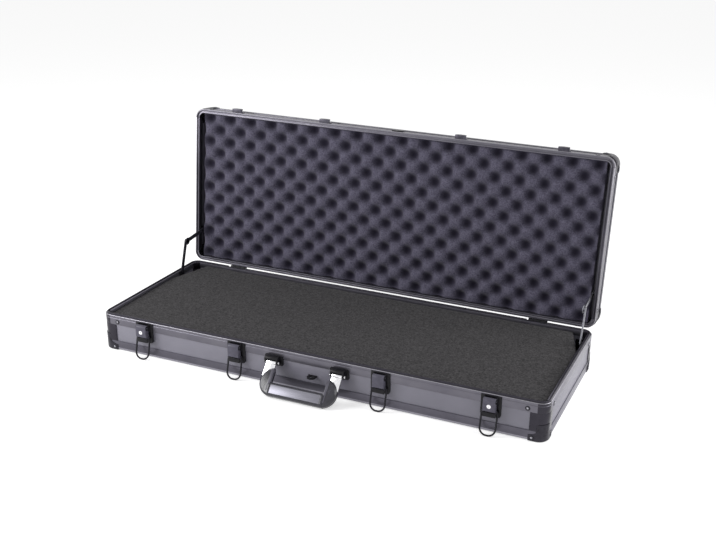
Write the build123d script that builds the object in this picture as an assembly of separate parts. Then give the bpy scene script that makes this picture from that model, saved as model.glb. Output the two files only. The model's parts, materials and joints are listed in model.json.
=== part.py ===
"""A long aluminium tool case: a foam-filled base and a foam-lined lid in extruded frames.

The case lies on its underside with the lid open. X runs along the case, to the right as seen
from the front, -Y is the front with the handle and the latches, and Z is up. The origin is the
centre of the underside. All lengths are millimetres and all angles are degrees.

Both halves are built the same way round: "depth" is measured from the parting face into the
half, so the base is the mirrored form and the lid is built shut, then swung open on its hinges.
"""

import os
from math import acos, asin, atan2, cos, degrees, hypot, pi, radians, sin, sqrt

from build123d import *

# Cutters run past what they cut by this much
overcut = 1.0

# Overall size
case_length = 950.0
case_width = 350.0
base_height = 78.0
lid_height = 45.0
corner_radius = 20.0
open_angle = 96.4
parting_gap = 0.3

# Clearances: round a turning pin, and between faces that pass each other
running_fit = 0.1
side_gap = 0.3

# Extruded frame: two flanges with a board between them
wall = 1.5
board = 6.0
rim_band = 20.0
edge_band = 20.0
lid_band = 16.0
foot_setback = 2.0
edge_upstand = 10.0
edge_chamfer = 2.0
inner_flange = 12.0
base_web = 2.0
bead_depth = 0.5
bead_offset = 6.0
lip_chamfer = 0.8
post_wing = 13.0

# Tongue on the base rim and groove in the lid rim
tongue_width = 2.0
tongue_height = 3.0
groove_clearance = 0.8
groove_headroom = 0.7
lid_web = 1.8

# Three-pronged corner caps
cap_sheet = 1.2
cap_reach = 34.0
cap_scoop = 22.0

# Foam
foam_clearance = 0.5
base_foam_drop = 5.5
notch_width = 30.0
notch_length = 96.0
lid_foam_drop = 3.5
egg_pitch = 52.0
egg_depth = 20.0
egg_ridge = 3.0
egg_floor = 9.0

# Hinges
hinge_end_inset = 118.0
hinge_width = 40.0
hinge_leaf = 1.4
hinge_leaf_height = 18.0
hinge_offset = 2.6
knuckle_radius = 2.3
knuckle_length = 13.0
hinge_pin_radius = 1.1
tongue_break_gap = 2.0

# Lid stays: two links on each side
stay_inset = 9.3
stay_sheet = 2.2
stay_half_width = 4.5
stay_link = 68.0
stay_pivot_back = 72.5
stay_pin_radius = 2.0
stay_slack = 1.5
stay_head_radius = 4.6
stay_head_height = 1.5
stay_lid_depth = 8.5
bracket_sheet = 1.5
bracket_half_length = 9.0
bracket_ear_radius = 4.0
base_bracket_drop = 14.0

# Draw latches with wire bails
latch_end_inset = 105.0
latch_inner_place = 154.5
locked_latches = (1, 4)
plate_half_width = 19.5
plate_tail = 13.0
plate_top_gap = 2.5
plate_sheet = 1.6
plate_corner = 6.0
lever_half_width = 11.3
lever_top_radius = 5.0
lever_skin = 1.8
lever_web = 4.0
lever_pivot_out = 9.5
lever_pivot_drop = 9.0
cheek_sheet = 1.2
latch_pin_radius = 1.75
tube_out = 6.0
tube_radius = 3.0
wire_radius = 1.8
wire_sides = 10
wire_fit = 0.15
bail_lean = 14.3
bail_crown_flat = 1.5
bail_stub = 7.9
bail_bend = 2.2
floor_gap = 0.4

# Strikes on the lid
crown_rise = 12.9
strike_sheet = 1.5
strike_side_gap = 1.6
strike_lip_sheet = 2.1
strike_lip_rise = 0.5
strike_low_gap = 0.9
strike_plate_height = 14.5
strike_corner = 8.0
bail_clearance = 0.4

# Key locks in the outer latches
lock_radius = 4.0
lock_proud = 0.8
lock_length = 7.0
lock_top_gap = 0.5
cam_gap = 0.8
cam_width = 5.0
cam_sheet = 1.5
keyway_width = 0.9
keyway_length = 4.6
keyway_depth = 1.2

# Carrying handle
bracket_spacing = 140.6
foot_half_width = 19.5
foot_rim_gap = 13.0
foot_length = 20.0
foot_sheet = 2.0
handle_pivot_out = 10.0
handle_pivot_drop = 11.0
handle_pin_radius = 2.5
handle_pin_head = 1.9
ear_sheet = 3.2
ear_radius = 5.0
hood_sheet = 3.6
hood_ribs = 2
hood_rib_width = 1.6
hood_rib_rise = 0.7
arm_half_width = 10.5
arm_sheet = 4.5
arm_eye_radius = 5.0
arm_length = 30.0
arm_side_gap = 0.4
grip_reach = 67.0
grip_height = 27.0
grip_thickness = 18.0
grip_fillet = 6.0
grip_shoulder = 0.8
disc_radius = 28.0
disc_thickness = 16.0
disc_chamfer = 4.0
inlay_end_gap = 6.0
inlay_height = 17.0
inlay_sheet = 1.4
inlay_proud = 0.4

# Padlock eye on the base and keeper plate on the lid
eye_place = 12.0
eye_half_width = 9.0
eye_height = 36.0
eye_plate_height = 5.0
eye_sheet = 2.5
eye_out = 15.0
eye_hole_radius = 3.5
keeper_place = 14.0
keeper_half_width = 12.0
keeper_height = 14.0
keeper_sheet = 2.0
keeper_offset = 3.7

# Worked-out sizes
half_length = case_length / 2
half_width = case_width / 2
frame_width = 2 * wall + board
base_depth = base_height - cap_sheet
lid_plane = base_height + parting_gap
hinge_y = half_width + hinge_offset
hinge_z = base_height + parting_gap / 2
tongue_inset = (frame_width - tongue_width) / 2
groove_depth = tongue_height - parting_gap + groove_headroom
lid_web_depth = groove_depth + lid_web
inner_x = half_length - frame_width
inner_y = half_width - frame_width
front_y = -half_width
panel_y = -half_width + wall
rim_low = base_height - rim_band
edge_foot = corner_radius - foot_setback
hinge_place = half_length - hinge_end_inset
latch_outer_place = half_length - latch_end_inset
latch_places = (-latch_outer_place, -latch_inner_place, latch_inner_place, latch_outer_place)

# Stay layers, outwards from the bracket's face on the left side
stay_x = -inner_x + bracket_sheet
lower_x = (stay_x + side_gap, stay_x + side_gap + stay_sheet)
upper_x = (lower_x[1] + side_gap, lower_x[1] + side_gap + stay_sheet)
head_x = (upper_x[1] + side_gap, upper_x[1] + side_gap + stay_head_height)


def block(x_span, y_span, z_span):
    """A box between two limits on each axis."""
    size = [span[1] - span[0] for span in (x_span, y_span, z_span)]
    centre = [(span[1] + span[0]) / 2 for span in (x_span, y_span, z_span)]
    return Pos(*centre) * Box(*size)


def rod(start, end, radius):
    """A round bar between two points."""
    axis = Vector(*end) - Vector(*start)
    bar = Cylinder(radius, axis.length, align=(Align.CENTER, Align.CENTER, Align.MIN))
    return Plane(origin=start, z_dir=axis) * bar


def side_profile(points, x_span):
    """A closed outline in Y and Z, extruded along X."""
    plane = Plane(origin=(x_span[0], 0, 0), x_dir=(0, 1, 0), z_dir=(1, 0, 0))
    outline = plane * make_face(Polyline(*points, close=True))
    return extrude(outline, amount=x_span[1] - x_span[0], dir=(1, 0, 0))


def front_plate(outline, y_span):
    """A flat outline drawn in X and Z, extruded between two places on Y."""
    plane = Plane(origin=(0, y_span[1], 0), x_dir=(1, 0, 0), z_dir=(0, -1, 0))
    return extrude(plane * outline, amount=y_span[1] - y_span[0], dir=(0, -1, 0))


def both_ends(piece):
    """A piece and its mirror image on the other side of the YZ plane."""
    return piece + mirror(piece, about=Plane.YZ)


def four_corners(piece):
    """A piece at the front left corner, repeated at all four corners."""
    return both_ends(piece + mirror(piece, about=Plane.XZ))


# Half shells, drawn with depth along +Z from the parting face


def frame_run(profile, length, half_span, bent):
    """One length of extrusion along the front side, with a quarter bend at each end if bent."""
    start = Plane(origin=(-length / 2, -half_span, 0), x_dir=(0, 1, 0), z_dir=(1, 0, 0))
    section = start * make_face(Polyline(*profile, close=True))
    piece = extrude(section, amount=length, dir=(1, 0, 0))
    if bent:
        turn = Axis((-length / 2, corner_radius - half_span, 0), (0, 0, -1))
        piece = piece + both_ends(revolve(section, axis=turn, revolution_arc=90))
    return piece


def frame_set(profile):
    """Front length, back length and the pair of end lengths of one extrusion."""
    front = frame_run(profile, case_length - 2 * corner_radius, half_width, True)
    end = frame_run(profile, case_width - 2 * corner_radius, half_length, False)
    ends = both_ends(Rot(0, 0, -90) * end)
    return front, mirror(front, about=Plane.XZ), ends


def outer_flange(band):
    """The part of a rim section that is alike on base and lid: lip, bead line and skirt."""
    return [
        (wall, band),
        (0, band),
        (0, bead_offset + bead_depth),
        (bead_depth, bead_offset),
        (0, bead_offset - bead_depth),
        (0, lip_chamfer),
        (lip_chamfer, 0),
    ]


def base_rim_profile():
    """Section with the tongue, as distance from the outer face and depth."""
    tongue_end = tongue_inset + tongue_width
    return outer_flange(rim_band) + [
        (tongue_inset, 0),
        (tongue_inset, -tongue_height),
        (tongue_end, -tongue_height),
        (tongue_end, 0),
        (frame_width, 0),
        (frame_width, inner_flange),
        (frame_width - wall, inner_flange),
        (frame_width - wall, base_web),
        (wall, base_web),
    ]


def lid_rim_profile():
    """Section with the groove that takes the tongue."""
    groove_start = tongue_inset - groove_clearance
    groove_end = tongue_inset + tongue_width + groove_clearance
    return outer_flange(lid_band) + [
        (groove_start, 0),
        (groove_start, groove_depth),
        (groove_end, groove_depth),
        (groove_end, 0),
        (frame_width, 0),
        (frame_width, inner_flange + base_web),
        (frame_width - wall, inner_flange + base_web),
        (frame_width - wall, lid_web_depth),
        (wall, lid_web_depth),
    ]


def edge_profile(depth, band):
    """Section of the edge extrusion: a band, a foot under the flat board and an upstand."""
    return [
        (edge_chamfer, depth),
        (edge_foot, depth),
        (edge_foot, depth - wall),
        (frame_width, depth - wall),
        (frame_width, depth - edge_upstand),
        (frame_width - wall, depth - edge_upstand),
        (frame_width - wall, depth - wall),
        (wall, depth - wall),
        (wall, depth - band),
        (0, depth - band),
        (0, depth - edge_chamfer),
    ]


def corner_post(depth_span):
    """A solid quarter post with a slot on each side for the boards' ends."""
    outer = RectangleRounded(case_length, case_width, corner_radius)
    inner = RectangleRounded(2 * inner_x, 2 * inner_y, corner_radius - frame_width)
    reach = corner_radius + post_wing
    corner = Pos(-half_length + reach / 2, -half_width + reach / 2) * Rectangle(reach, reach)
    mid = wall + board / 2
    slot_x = Pos(-half_length + corner_radius + post_wing / 2, -half_width + mid)
    slot_y = Pos(-half_length + mid, -half_width + corner_radius + post_wing / 2)
    section = (outer - inner) & corner
    section = section - slot_x * Rectangle(post_wing, board) - slot_y * Rectangle(board, post_wing)
    return Pos(0, 0, depth_span[0]) * extrude(section, amount=depth_span[1] - depth_span[0])


def corner_block(grow, depth):
    """The solid corner that a cap fits over, grown outwards by the cap's sheet."""
    low = depth - cap_reach
    x_end = -half_length + cap_reach
    y_end = -half_width + cap_reach
    form = block((-half_length - grow, x_end), (-half_width - grow, y_end), (low, depth + grow))
    upright = form.edges().filter_by(Axis.Z).group_by(Axis.X)[0].sort_by(Axis.Y)[0]
    form = fillet(upright, corner_radius + grow)
    top = form.faces().sort_by(Axis.Z)[-1]
    outer = [edge for edge in top.edges() if edge.center().X < x_end and edge.center().Y < y_end]
    return chamfer(outer, edge_chamfer)


def corner_cap(depth):
    """A pressed cap with three prongs, scooped round between them."""
    cap = corner_block(cap_sheet, depth) - corner_block(0, depth)
    x_end = -half_length + cap_reach
    y_end = -half_width + cap_reach
    low = depth - cap_reach
    skin = 2 * cap_sheet
    x_out = -half_length - skin
    y_out = -half_width - skin
    cap = cap - rod((x_end, y_out, low), (x_end, -half_width, low), cap_scoop)
    cap = cap - rod((x_out, y_end, low), (-half_length, y_end, low), cap_scoop)
    return cap - rod((x_end, y_end, depth), (x_end, y_end, depth + skin), cap_scoop)


def side_board(length, half_span, depth_span):
    """A board between the two flanges, on the front side."""
    y_span = (-half_span + wall, -half_span + wall + board)
    return block((-length / 2, length / 2), y_span, depth_span)


def flat_board(depth_span):
    """The flat board of a half, inside the upstands."""
    outline = RectangleRounded(2 * inner_x, 2 * inner_y, corner_radius - frame_width)
    return Pos(0, 0, depth_span[0]) * extrude(outline, amount=depth_span[1] - depth_span[0])


def half_shell(rim, web, bands, depth):
    """Frames, posts, caps and side boards of one half, by name."""
    long_run = case_length - 2 * corner_radius
    short_run = case_width - 2 * corner_radius
    boards = (web, depth - wall)
    front_board = side_board(long_run, half_width, boards)
    end_board = Rot(0, 0, -90) * side_board(short_run, half_length, boards)
    rim_front, rim_back, rim_ends = frame_set(rim)
    edge_front, edge_back, edge_ends = frame_set(edge_profile(depth, bands[1]))
    return {
        "rim_front": rim_front,
        "rim_back": rim_back,
        "rim_ends": rim_ends,
        "edge_front": edge_front,
        "edge_back": edge_back,
        "edge_ends": edge_ends,
        "corner_posts": four_corners(corner_post((bands[0], depth - bands[1]))),
        "corner_caps": four_corners(corner_cap(depth)),
        "front_panel": front_board,
        "back_panel": mirror(front_board, about=Plane.XZ),
        "end_panels": both_ends(end_board),
    }


def to_base(piece):
    """Turn a half-shell piece over and lift it to the base."""
    return Pos(0, 0, base_height) * mirror(piece, about=Plane.XY)


def to_open_lid(piece):
    """Swing a piece that was drawn on the shut lid open about the hinge pins."""
    return piece.rotate(Axis((0, hinge_y, hinge_z), (1, 0, 0)), -open_angle)


def base_pieces():
    """All pieces of the base shell and its foam."""
    shell = half_shell(base_rim_profile(), base_web, (rim_band, edge_band), base_depth)
    pieces = {"base_" + name: to_base(piece) for name, piece in shell.items()}
    reach = hinge_width / 2 + tongue_break_gap
    tongue_break = block(
        (hinge_place - reach, hinge_place + reach),
        (half_width - frame_width, half_width),
        (base_height, base_height + 2 * tongue_height),
    )
    pieces["base_rim_back"] = pieces["base_rim_back"] - both_ends(tongue_break)
    border = flat_board((base_depth + cap_sheet - board, base_depth - wall))
    field_x = 2 * (half_length - edge_foot - foam_clearance)
    field_y = 2 * (half_width - edge_foot - foam_clearance)
    field = extrude(RectangleRounded(field_x, field_y, corner_radius - edge_foot), amount=cap_sheet + wall)
    pieces["base_bottom_panel"] = to_base(border + Pos(0, 0, base_depth - wall) * field)
    pieces["base_foam"] = base_foam()
    return pieces


def base_foam():
    """Flat foam block with a corner cut away behind each stay."""
    side = inner_x - foam_clearance
    back = inner_y - foam_clearance
    outline = RectangleRounded(2 * side, 2 * back, corner_radius - frame_width - foam_clearance)
    notch = make_face(
        Polyline((side, back), (side - notch_width, back), (side, back - notch_length), close=True)
    )
    outline = outline - notch - mirror(notch, about=Plane.YZ)
    return Pos(0, 0, board) * extrude(outline, amount=base_height - base_foam_drop - board)


def lid_pieces():
    """All pieces of the lid shell and its foam, drawn shut."""
    shell = half_shell(lid_rim_profile(), lid_web_depth, (lid_band, lid_band), lid_height)
    shell["top_panel"] = flat_board((lid_height - wall - board, lid_height - wall))
    shell["foam"] = lid_foam()
    return {"lid_" + name: Pos(0, 0, lid_plane) * piece for name, piece in shell.items()}


def lid_foam():
    """Foam with a staggered pattern of square hollows between ridges."""
    side = -head_x[1] - foam_clearance
    back = inner_y - foam_clearance
    thickness = lid_height - wall - board - lid_foam_drop
    slab = extrude(Rectangle(2 * side, 2 * back), amount=thickness)
    mouth = egg_pitch / 2 - egg_ridge
    slope = degrees(atan2((mouth - egg_floor) / sqrt(2), egg_depth))
    diamond = Rot(0, 0, 45) * Rectangle(mouth * sqrt(2), mouth * sqrt(2))
    hollow = extrude(diamond, amount=egg_depth, taper=slope)
    step = egg_pitch / 2
    columns = int((side - mouth) / step)
    rows = int((back - mouth) / step)
    hollows = [
        Pos(column * step, row * step, 0) * hollow
        for column in range(-columns, columns + 1)
        for row in range(-rows, rows + 1)
        if (column + row) % 2
    ]
    return Pos(0, 0, lid_foam_drop) * (slab - hollows)


# Hinges


def hinge_pair(leaf):
    """The same leaf at both hinges."""
    return Pos(-hinge_place, 0, 0) * leaf + Pos(hinge_place, 0, 0) * leaf


def hinge_base_leaf():
    """Leaf on the base's back with the two outer knuckles."""
    half = hinge_width / 2
    inner = half - knuckle_length
    leaf = block((-half, half), (half_width, half_width + hinge_leaf), (hinge_z - hinge_leaf_height, hinge_z))
    gap = block(
        (-inner, inner),
        (half_width - overcut, hinge_y + overcut),
        (hinge_z - knuckle_radius - running_fit, hinge_z + overcut),
    )
    knuckles = both_ends(rod((-half, hinge_y, hinge_z), (-inner, hinge_y, hinge_z), knuckle_radius))
    bore = rod((-half, hinge_y, hinge_z), (half, hinge_y, hinge_z), hinge_pin_radius)
    return leaf - gap + knuckles - bore


def hinge_lid_leaf():
    """Leaf on the lid's back with the middle knuckle, drawn shut."""
    half = hinge_width / 2
    inner = half - knuckle_length - side_gap
    leaf = block((-half, half), (half_width, half_width + hinge_leaf), (lid_plane, hinge_z + hinge_leaf_height))
    outer = hinge_z + knuckle_radius + side_gap
    gap = block((-half, -inner), (half_width - overcut, hinge_y + overcut), (hinge_z - overcut, outer))
    web = block((-inner, inner), (half_width, half_width + hinge_leaf), (hinge_z, outer))
    knuckle = rod((-inner, hinge_y, hinge_z), (inner, hinge_y, hinge_z), knuckle_radius)
    bore = rod((-half, hinge_y, hinge_z), (half, hinge_y, hinge_z), hinge_pin_radius + running_fit)
    return leaf - both_ends(gap) + web + knuckle - bore


def hinge_pin():
    """Pin through all three knuckles."""
    half = hinge_width / 2
    return rod((-half, hinge_y, hinge_z), (half, hinge_y, hinge_z), hinge_pin_radius)


# Lid stays, drawn on the left side and mirrored to the right

stay_base = (hinge_y - stay_pivot_back, base_height)
stay_radius = hypot(stay_base[0] - hinge_y, stay_base[1] - hinge_z)
stay_lid_z = lid_plane + stay_lid_depth
stay_lid_shut = (hinge_y - sqrt(stay_radius**2 - (stay_lid_z - hinge_z) ** 2), stay_lid_z)


def swing(point, angle):
    """A point in Y and Z, turned about the hinge pins."""
    y = point[0] - hinge_y
    z = point[1] - hinge_z
    turn = radians(angle)
    return hinge_y + y * cos(turn) - z * sin(turn), hinge_z + y * sin(turn) + z * cos(turn)


def stay_elbow(lid_point):
    """The knee of the two equal links, on their front side."""
    dy = lid_point[0] - stay_base[0]
    dz = lid_point[1] - stay_base[1]
    span = hypot(dy, dz)
    rise = sqrt(stay_link**2 - span**2 / 4)
    return (
        stay_base[0] + dy / 2 - dz / span * rise,
        stay_base[1] + dz / 2 + dy / span * rise,
    )


def link_bar(start, end, x_span, radii):
    """A flat link with round ends between two pivots."""
    length = hypot(end[0] - start[0], end[1] - start[1])
    angle = degrees(atan2(end[1] - start[1], end[0] - start[0]))
    plane = Plane(origin=(x_span[0], *start), x_dir=(0, 1, 0), z_dir=(1, 0, 0))
    bar = Pos(length / 2, 0) * Rectangle(length, 2 * stay_half_width)
    bar = bar + Circle(radii[0]) + Pos(length, 0) * Circle(radii[1])
    return extrude(plane * (Rot(0, 0, angle) * bar), amount=x_span[1] - x_span[0], dir=(1, 0, 0))


def stay_links():
    """Lower and upper link of the left stay in the open position."""
    lid_point = swing(stay_lid_shut, -open_angle)
    elbow = stay_elbow(lid_point)
    slot = stay_pin_radius + stay_slack
    lower = link_bar(stay_base, elbow, lower_x, (stay_half_width, stay_half_width))
    lower = lower - rod((lower_x[0], *stay_base), (lower_x[1], *stay_base), stay_pin_radius + running_fit)
    lower = lower + rod((lower_x[1], *elbow), (head_x[0], *elbow), stay_pin_radius)
    lower = lower + rod((head_x[0], *elbow), (head_x[1], *elbow), stay_head_radius)
    upper = link_bar(elbow, lid_point, upper_x, (stay_half_width, slot + stay_sheet))
    upper = upper - rod((upper_x[0], *elbow), (upper_x[1], *elbow), stay_pin_radius + running_fit)
    upper = upper - rod((upper_x[0], *lid_point), (upper_x[1], *lid_point), slot)
    return lower, upper


def stay_base_bracket():
    """Plate on the rim's inner flange with the lower pivot."""
    y, z = stay_base
    plate = block(
        (-inner_x, stay_x),
        (y - bracket_half_length, y + bracket_half_length),
        (z - base_bracket_drop, z - parting_gap),
    )
    ear = rod((-inner_x, y, z), (stay_x, y, z), bracket_ear_radius)
    return plate + ear + rod((-inner_x, y, z), (lower_x[1], y, z), stay_pin_radius)


def stay_lid_bracket():
    """Plate on the lid rim's inner flange with the open upper pivot, drawn shut."""
    y, z = stay_lid_shut
    top = lid_plane + inner_flange + base_web
    plate = block(
        (-inner_x, stay_x),
        (y - bracket_half_length, y + bracket_half_length),
        (z, top),
    )
    ear = rod((-inner_x, y, z), (stay_x, y, z), bracket_ear_radius)
    return plate + ear + rod((-inner_x, y, z), (upper_x[1], y, z), stay_pin_radius)


# Latches

groove_radius = (wire_radius + bail_clearance) / cos(pi / wire_sides)
crown_seat = (front_y - strike_sheet - groove_radius, lid_plane + crown_rise)
bail_floor = floor_gap + wire_radius


def tube_height():
    """Height of the cross tube from which one bail reaches both its strike and the floor."""
    share = cos(radians(bail_lean))
    return (crown_seat[1] * share + bail_floor) / (1 + share)


lever_pivot = (front_y - lever_pivot_out, base_height - lever_pivot_drop)
tube_centre = (front_y - tube_out, tube_height())
bail_length = hypot(crown_seat[0] - tube_centre[0], crown_seat[1] - tube_centre[1])
plate_face = front_y - plate_sheet
plate_low = tube_centre[1] - plate_tail
lever_face = lever_pivot[0] - lever_top_radius
lever_low = tube_centre[1] + lever_web
pocket_high = lever_pivot[1] - lever_top_radius
lock_height = pocket_high - lock_radius - lock_top_gap
cam_length = lock_height - lever_low - cam_gap
cheek_inner = lever_half_width + side_gap
cheek_outer = cheek_inner + cheek_sheet
bail_half_width = cheek_outer + side_gap + wire_radius
tube_half_length = bail_half_width - bail_bend - side_gap
strike_half_width = bail_half_width - wire_radius - strike_side_gap


def latch_plate():
    """Back plate with two cheeks that carry the lever's pin, at x = 0."""
    plate_high = base_height - plate_top_gap
    sheet = block((-plate_half_width, plate_half_width), (plate_face, front_y), (plate_low, plate_high))
    pad = block((-plate_half_width, plate_half_width), (front_y, panel_y), (plate_low, rim_low))
    plate = sheet + pad
    plate = fillet(plate.edges().filter_by(Axis.Y).group_by(Axis.Z)[0], plate_corner)
    y, z = lever_pivot
    nose = lever_face + lever_skin / 2
    outline = [
        (plate_face, z - 2 * lever_top_radius),
        (y, z - lever_top_radius),
        (nose, z - lever_top_radius / 2),
        (nose, z + lever_top_radius / 2),
        (y, z + lever_top_radius),
        (plate_face, z + lever_top_radius),
    ]
    cheeks = both_ends(side_profile(outline, (-cheek_outer, -cheek_inner)))
    bore = rod((-cheek_outer, y, z), (cheek_outer, y, z), latch_pin_radius)
    return plate + (cheeks - bore)


def latch_pin():
    """Pin of one lever."""
    return rod((-cheek_outer, *lever_pivot), (cheek_outer, *lever_pivot), latch_pin_radius)


def latch_lever(locked):
    """Folded lever with a cross tube for the bail at its free end."""
    y, z = lever_pivot
    back = y + lever_top_radius
    ty, tz = tube_centre
    outline = [
        (lever_face, lever_low),
        (lever_face, z),
        (back, z),
        (back, lever_low),
        (ty + tube_radius, tz),
        (ty - tube_radius, tz),
    ]
    body = side_profile(outline, (-lever_half_width, lever_half_width))
    body = body + rod((-lever_half_width, y, z), (lever_half_width, y, z), lever_top_radius)
    inner = lever_half_width - lever_skin
    body = body - block((-inner, inner), (lever_face + lever_skin, back + overcut), (lever_low, pocket_high))
    body = body + rod((-tube_half_length, ty, tz), (tube_half_length, ty, tz), tube_radius)
    body = body - rod((-tube_half_length, ty, tz), (tube_half_length, ty, tz), wire_radius + wire_fit)
    body = body - rod((-lever_half_width, y, z), (lever_half_width, y, z), latch_pin_radius + running_fit)
    if locked:
        face = (0, lever_face, lock_height)
        body = body - rod(face, (0, lever_face + lever_skin, lock_height), lock_radius + running_fit)
    return body


def bail_hang_angle():
    """Outward lean of a bail whose crown rests on the floor."""
    return degrees(acos((tube_centre[1] - bail_floor) / bail_length))


def bail_wire(radius, angle):
    """Bent loop with a many-sided section, turned about its tube from hanging straight down."""
    stub = bail_half_width - bail_stub
    crown = bail_half_width - bail_crown_flat
    path = FilletPolyline(
        (-stub, 0, 0),
        (-bail_half_width, 0, 0),
        (-bail_half_width, 0, -bail_length),
        (bail_half_width, 0, -bail_length),
        (bail_half_width, 0, 0),
        (stub, 0, 0),
        radius=[bail_bend, crown, crown, bail_bend],
    )
    section = Plane(origin=(-stub, 0, 0), z_dir=(-1, 0, 0)) * RegularPolygon(radius, wire_sides)
    return Pos(0, *tube_centre) * (Rot(angle, 0, 0) * sweep(section, path=path))


def latch_bail():
    """The bail with round stubs in the cross tube, hanging outwards until it rests on the floor."""
    stub = bail_half_width - bail_stub
    turn = bail_half_width - bail_bend
    stubs = both_ends(rod((-turn, *tube_centre), (-stub, *tube_centre), wire_radius))
    return bail_wire(wire_radius, -bail_hang_angle()) + stubs


def lock_cylinder():
    """Key cylinder with a keyway and a cam behind the lever's face."""
    front = lever_face - lock_proud
    barrel = rod((0, front, lock_height), (0, front + lock_length, lock_height), lock_radius)
    keyway = block(
        (-keyway_width / 2, keyway_width / 2),
        (front, front + keyway_depth),
        (lock_height - keyway_length / 2, lock_height + keyway_length / 2),
    )
    cam = block(
        (-cam_width / 2, cam_width / 2),
        (front + lock_length - cam_sheet, front + lock_length),
        (lock_height - cam_length, lock_height),
    )
    return barrel - keyway + cam


def latch_strike():
    """Hook plate on the lid that the bail's crown drops behind, drawn shut at x = 0."""
    low = lid_plane + strike_low_gap
    top = crown_seat[1] + strike_lip_rise
    lean = degrees(asin((crown_seat[0] - tube_centre[0]) / bail_length))
    out = strike_sheet + 2 * groove_radius + strike_lip_sheet
    face = Pos(0, (low + top) / 2) * Rectangle(2 * strike_half_width, top - low)
    crown = face.vertices().group_by(Axis.Y)[-1]
    face = fillet(crown, strike_corner)
    hook = front_plate(face, (front_y - out, front_y))
    plate = block(
        (-strike_half_width, strike_half_width),
        (front_y - strike_sheet, front_y),
        (low, low + strike_plate_height),
    )
    return hook - bail_wire(groove_radius, 180 - lean) + plate


# Handle

foot_high = base_height - foot_rim_gap
handle_pivot = (front_y - handle_pivot_out, foot_high - handle_pivot_drop)
arm_place = bracket_spacing / 2
ear_inner = arm_half_width + arm_side_gap
ear_outer = ear_inner + ear_sheet
grip_opening = arm_place - arm_half_width - grip_shoulder


def ribbed_top(low_y, high_y, z):
    """Outline points from front to back along a top with evenly spaced ribs."""
    step = (high_y - low_y) / (hood_ribs + 1)
    points = []
    for number in range(1, hood_ribs + 1):
        start = low_y + number * step - hood_rib_width / 2
        end = start + hood_rib_width
        points += [(start, z), (start, z + hood_rib_rise), (end, z + hood_rib_rise), (end, z)]
    return points


def handle_bracket():
    """Hooded bracket with two ears, at x = 0."""
    y, z = handle_pivot
    foot_low = foot_high - foot_length
    foot = block((-foot_half_width, foot_half_width), (front_y - foot_sheet, front_y), (foot_low, foot_high))
    pad = block((-foot_half_width, foot_half_width), (front_y, panel_y), (foot_low, rim_low))
    upright = (foot + pad).edges().filter_by(Axis.Y)
    foot = fillet(upright.group_by(Axis.Z)[0] + upright.group_by(Axis.Z)[-1], ear_radius / 2)
    outline = [
        (front_y, z - ear_radius),
        (y, z - ear_radius),
        (y - ear_radius, z),
        (y - ear_radius, foot_high - hood_sheet),
        (y - ear_radius + hood_sheet / 2, foot_high),
        (front_y, foot_high),
    ]
    ears = both_ends(side_profile(outline, (-ear_outer, -ear_inner)))
    nose = y - ear_radius + hood_sheet / 2
    hood_outline = [
        (front_y, foot_high - hood_sheet),
        (y - ear_radius, foot_high - hood_sheet),
        (nose, foot_high),
        *ribbed_top(nose, front_y, foot_high),
        (front_y, foot_high),
    ]
    hood = side_profile(hood_outline, (-ear_outer, ear_outer))
    bore = rod((-ear_outer, y, z), (ear_outer, y, z), handle_pin_radius)
    return foot + hood + (ears - bore)


def handle_pin():
    """Pin of one bracket."""
    half = ear_outer + handle_pin_head
    return rod((-half, *handle_pivot), (half, *handle_pivot), handle_pin_radius)


def handle_tilt():
    """Outward lean of the handle when its grip rests on the floor."""
    low = grip_reach - grip_fillet
    inward = grip_thickness / 2 - grip_fillet
    drop = handle_pivot[1] - grip_fillet - floor_gap
    return degrees(atan2(inward, low) + acos(drop / hypot(low, inward)))


def to_handle(piece):
    """Place a piece, drawn hanging straight down from the origin, at the resting handle."""
    return Pos(0, *handle_pivot) * (Rot(-handle_tilt(), 0, 0) * piece)


def arm_blank():
    """Flat strap with a curled eye, hanging from the origin."""
    half = arm_half_width
    strap = block((-half, half), (-arm_sheet / 2, arm_sheet / 2), (-arm_length, 0))
    eye = rod((-half, 0, 0), (half, 0, 0), arm_eye_radius)
    return strap + eye


def handle_arm():
    """Strap with the pin's bore."""
    half = arm_half_width
    return arm_blank() - rod((-half, 0, 0), (half, 0, 0), handle_pin_radius + running_fit)


def inlay_block(sheet):
    """The bright inlay on the grip's outer face."""
    face = -grip_thickness / 2 - inlay_proud
    mid = grip_height / 2 - grip_reach
    half = grip_opening - inlay_end_gap
    return block((-half, half), (face, face + sheet), (mid - inlay_height / 2, mid + inlay_height / 2))


def handle_grip():
    """Moulded grip bar with a half disc at each end that takes the strap."""
    section = RectangleRounded(grip_thickness, grip_height, grip_fillet)
    plane = Plane(origin=(-grip_opening, 0, grip_height / 2 - grip_reach), x_dir=(0, 1, 0), z_dir=(1, 0, 0))
    bar = extrude(plane * section, amount=2 * grip_opening, dir=(1, 0, 0))
    disc_x = arm_place + arm_half_width - disc_radius
    centre = (disc_x, disc_radius - grip_reach)
    half = disc_thickness / 2
    disc = rod((centre[0], -half, centre[1]), (centre[0], half, centre[1]), disc_radius)
    disc = chamfer(disc.edges().filter_by(GeomType.CIRCLE), disc_chamfer)
    keep = block(
        (grip_opening, disc_x + disc_radius),
        (-half, half),
        (-grip_reach, 2 * disc_radius - grip_reach),
    )
    end = (disc & keep) - Pos(arm_place, 0, 0) * arm_blank()
    return bar + both_ends(end) - inlay_block(inlay_sheet)


# Padlock eye and keeper


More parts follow.
